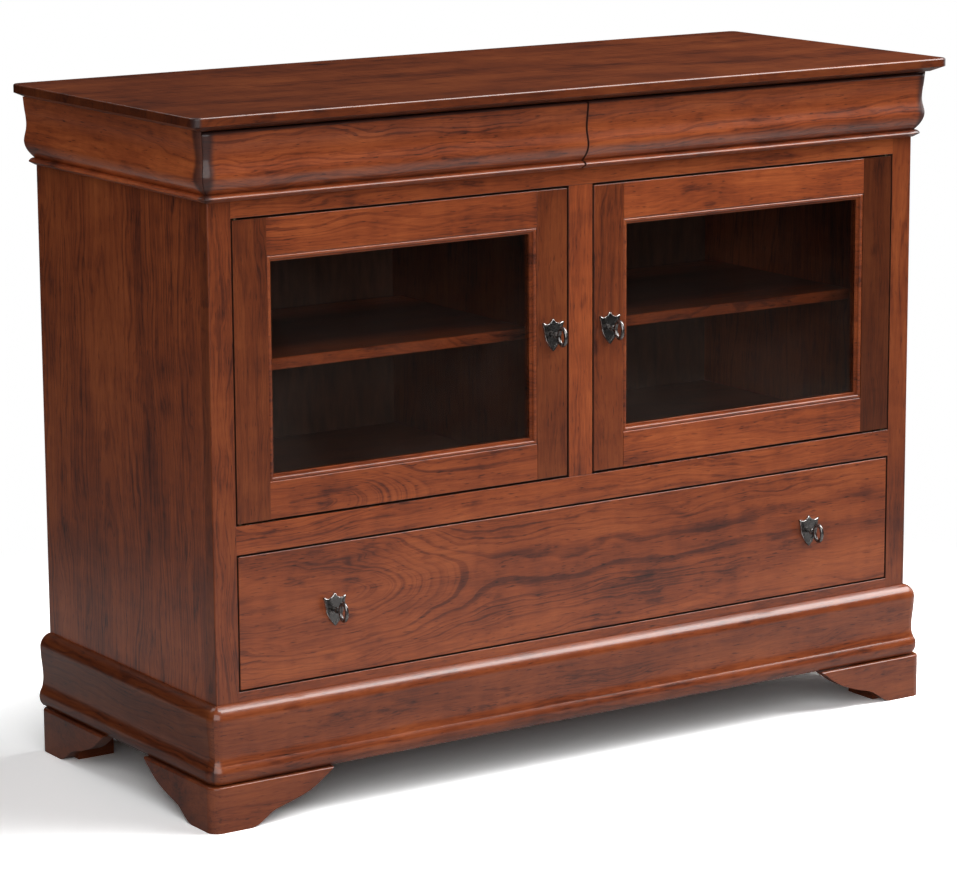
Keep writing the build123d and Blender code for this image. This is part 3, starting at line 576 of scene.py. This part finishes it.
# Half of a shield's outline, top to point: curves through three points, in halves of its width and height.
SHIELD_CURVES = (((0, 1), (0.5, 0.68), (1, 0.79)), ((1, 0.79), (0.86, 0.4), (0.78, 0.04)),
                 ((0.78, 0.04), (0.56, -0.44), (0, -1)))


def bend(first, middle, last):
    """Points along a curve through three points, without the last one."""
    points = []
    for step in range(ARC_STEPS):
        t = step / ARC_STEPS
        points.append(tuple((1 - t) * (1 - 2 * t) * a + 4 * t * (1 - t) * b + t * (2 * t - 1) * c
                            for a, b, c in zip(first, middle, last)))
    return points


def shield_rim(node_name, low, high):
    """A round bead along a shield plate's edge, on the plate's front face."""
    half_width = (high.x - low.x) / 2 - RIM_RADIUS
    half_height = (high.z - low.z) / 2 - RIM_RADIUS
    middle = (low + high) / 2
    half = []
    for curve_points in SHIELD_CURVES:
        half += bend(*[(x * half_width, z * half_height) for x, z in curve_points])
    outline = half + [(0, -half_height)] + [(-x, z) for x, z in reversed(half[1:])]
    curve = bpy.data.curves.new(node_name + "_rim", "CURVE")
    curve.dimensions = "3D"
    curve.bevel_depth = RIM_RADIUS
    curve.bevel_resolution = 3
    spline = curve.splines.new("POLY")
    spline.use_cyclic_u = True
    spline.points.add(len(outline) - 1)
    for point, (x, z) in zip(spline.points, outline):
        point.co = (middle.x + x, low.y + RIM_RADIUS, middle.z + z, 1.0)
    source = bpy.data.objects.new(curve.name, curve)
    mesh = bpy.data.meshes.new_from_object(source)
    bpy.data.objects.remove(source)
    bpy.data.curves.remove(curve)
    mesh.shade_smooth()
    mesh.materials.clear()
    mesh.materials.append(RIM)
    return mesh


def islands(node):
    """The boxes of a node's separate solids."""
    bm = bmesh.new()
    bm.from_mesh(node.data)
    bmesh.ops.remove_doubles(bm, verts=bm.verts, dist=MERGE)
    bm.faces.index_update()
    boxes = []
    for faces in loose_parts(bm):
        corners = [vertex.co for face in faces for vertex in face.verts]
        boxes.append((Vector([min(c[i] for c in corners) for i in range(3)]),
                      Vector([max(c[i] for c in corners) for i in range(3)])))
    bm.free()
    return boxes


for name in sorted(NODES):
    if "shield_plate" in name:
        for number, (low, high) in enumerate(islands(NODES[name])):
            mesh = shield_rim(f"{name}_{number + 1}", low, high)
            piece = bpy.data.objects.new(mesh.name, mesh)
            scene_objects.link(piece)
            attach(piece, BODY_OF[name])

# ------------------------------------------------------------------ floor, light and camera
scene.view_settings.view_transform = "Standard"
FLOOR_HALF = 14.0
# The floor's reflectance as seen, and for light that bounces off it near the cabinet and further out.
FLOOR_SEEN = 1.55
FLOOR_NEAR = 0.34
FLOOR_FAR = 0.10
# From where to where, in metres from the middle, the floor fades to white, and its bounce fades.
SEEN_FADE = (0.75, 1.35)
BOUNCE_FADE = (1.0, 2.0)
WORLD_FRONT = 0.15
WORLD_BACK = 0.20


def make_floor():
    """A pale floor that keeps the cabinet's shadow and fades to plain white round it."""
    mesh = bpy.data.meshes.new("floor")
    corners = [(-FLOOR_HALF, -FLOOR_HALF, 0), (FLOOR_HALF, -FLOOR_HALF, 0),
               (FLOOR_HALF, FLOOR_HALF, 0), (-FLOOR_HALF, FLOOR_HALF, 0)]
    mesh.from_pydata(corners, [], [(0, 1, 2, 3)])
    floor = bpy.data.objects.new("floor", mesh)
    scene_objects.link(floor)
    material = bpy.data.materials.new("floor_paper")
    material.use_nodes = True
    tree = material.node_tree
    tree.nodes.remove(tree.nodes["Principled BSDF"])

    def diffuse(level):
        made = tree.nodes.new("ShaderNodeBsdfDiffuse")
        made.inputs["Color"].default_value = (level, level, level, 1.0)
        return made.outputs[0]

    def blend(factor, first, second):
        made = tree.nodes.new("ShaderNodeMixShader")
        tree.links.new(factor, made.inputs[0])
        tree.links.new(first, made.inputs[1])
        tree.links.new(second, made.inputs[2])
        return made.outputs[0]

    def far(start, end):
        """0 near the cabinet and 1 past end, in metres from its middle."""
        place = tree.nodes.new("ShaderNodeTexCoord")
        length = tree.nodes.new("ShaderNodeVectorMath")
        length.operation = "LENGTH"
        tree.links.new(place.outputs["Object"], length.inputs[0])
        share = tree.nodes.new("ShaderNodeMapRange")
        share.interpolation_type = "SMOOTHSTEP"
        share.inputs["From Min"].default_value = start
        share.inputs["From Max"].default_value = end
        tree.links.new(length.outputs["Value"], share.inputs["Value"])
        return share.outputs["Result"]

    white = tree.nodes.new("ShaderNodeEmission")
    path = tree.nodes.new("ShaderNodeLightPath")
    seen = blend(far(*SEEN_FADE), diffuse(FLOOR_SEEN), white.outputs[0])
    bounced = blend(far(*BOUNCE_FADE), diffuse(FLOOR_NEAR), diffuse(FLOOR_FAR))
    output = next(n for n in tree.nodes if n.type == "OUTPUT_MATERIAL")
    tree.links.new(blend(path.outputs["Is Camera Ray"], bounced, seen), output.inputs["Surface"])
    mesh.materials.append(material)


def make_world():
    """White where the camera looks past the floor, else a dim studio, a little brighter behind."""
    world = bpy.data.worlds.new("studio")
    world.use_nodes = True
    scene.world = world
    tree = world.node_tree
    dim = tree.nodes["Background"]
    white = tree.nodes.new("ShaderNodeBackground")
    white.inputs["Color"].default_value = (1, 1, 1, 1)
    white.inputs["Strength"].default_value = 1.0
    direction = tree.nodes.new("ShaderNodeTexCoord")
    parts = tree.nodes.new("ShaderNodeSeparateXYZ")
    tree.links.new(direction.outputs["Generated"], parts.inputs[0])
    shade = tree.nodes.new("ShaderNodeMapRange")
    shade.inputs["From Min"].default_value = -1.0
    shade.inputs["From Max"].default_value = 1.0
    shade.inputs["To Min"].default_value = WORLD_FRONT
    shade.inputs["To Max"].default_value = WORLD_BACK
    tree.links.new(parts.outputs["Y"], shade.inputs["Value"])
    tree.links.new(shade.outputs["Result"], dim.inputs["Strength"])
    path = tree.nodes.new("ShaderNodeLightPath")
    blend = tree.nodes.new("ShaderNodeMixShader")
    output = next(n for n in tree.nodes if n.type == "OUTPUT_WORLD")
    tree.links.new(path.outputs["Is Camera Ray"], blend.inputs[0])
    tree.links.new(dim.outputs[0], blend.inputs[1])
    tree.links.new(white.outputs[0], blend.inputs[2])
    tree.links.new(blend.outputs[0], output.inputs["Surface"])


def softbox(name, azimuth, elevation, distance, size, radiance, aim=(0, 0, 0.45)):
    """A rectangular area light; azimuth 0 is in front of the cabinet and negative is to its left."""
    a, e = math.radians(azimuth), math.radians(elevation)
    toward = Vector((math.sin(a) * math.cos(e), -math.cos(a) * math.cos(e), math.sin(e)))
    data = bpy.data.lights.new(name, "AREA")
    data.shape = "RECTANGLE"
    data.size, data.size_y = size
    data.energy = radiance * math.pi * size[0] * size[1]
    lamp = bpy.data.objects.new(name, data)
    lamp.location = Vector(aim) + toward * distance
    lamp.rotation_euler = toward.to_track_quat("Z", "Y").to_euler()
    scene_objects.link(lamp)


make_floor()
make_world()
softbox("key", azimuth=-34, elevation=23, distance=3.6, size=(3.6, 2.8), radiance=2.85)
softbox("overhead", azimuth=70, elevation=56, distance=2.7, size=(2.0, 3.2), radiance=9.8,
        aim=(0.1, -0.2, 0.5))
softbox("right_fill", azimuth=88, elevation=16, distance=3.2, size=(1.6, 1.6), radiance=1.6)
softbox("back_fill", azimuth=205, elevation=52, distance=3.4, size=(2.0, 1.6), radiance=2.2)

CAMERA_PLACE = (-2.897, -4.306, 1.483)
LOOKS_DOWN = 11.64
LEANS = 0.31
TURNS_RIGHT = 33.78
camera_data = bpy.data.cameras.new("camera")
camera_data.sensor_width = 36.0
camera_data.lens = 142.0
camera_data.clip_end = 60.0
camera = bpy.data.objects.new("camera", camera_data)
camera.location = CAMERA_PLACE
camera.rotation_euler = (math.radians(90 - LOOKS_DOWN), math.radians(LEANS), math.radians(-TURNS_RIGHT))
scene_objects.link(camera)
scene.camera = camera
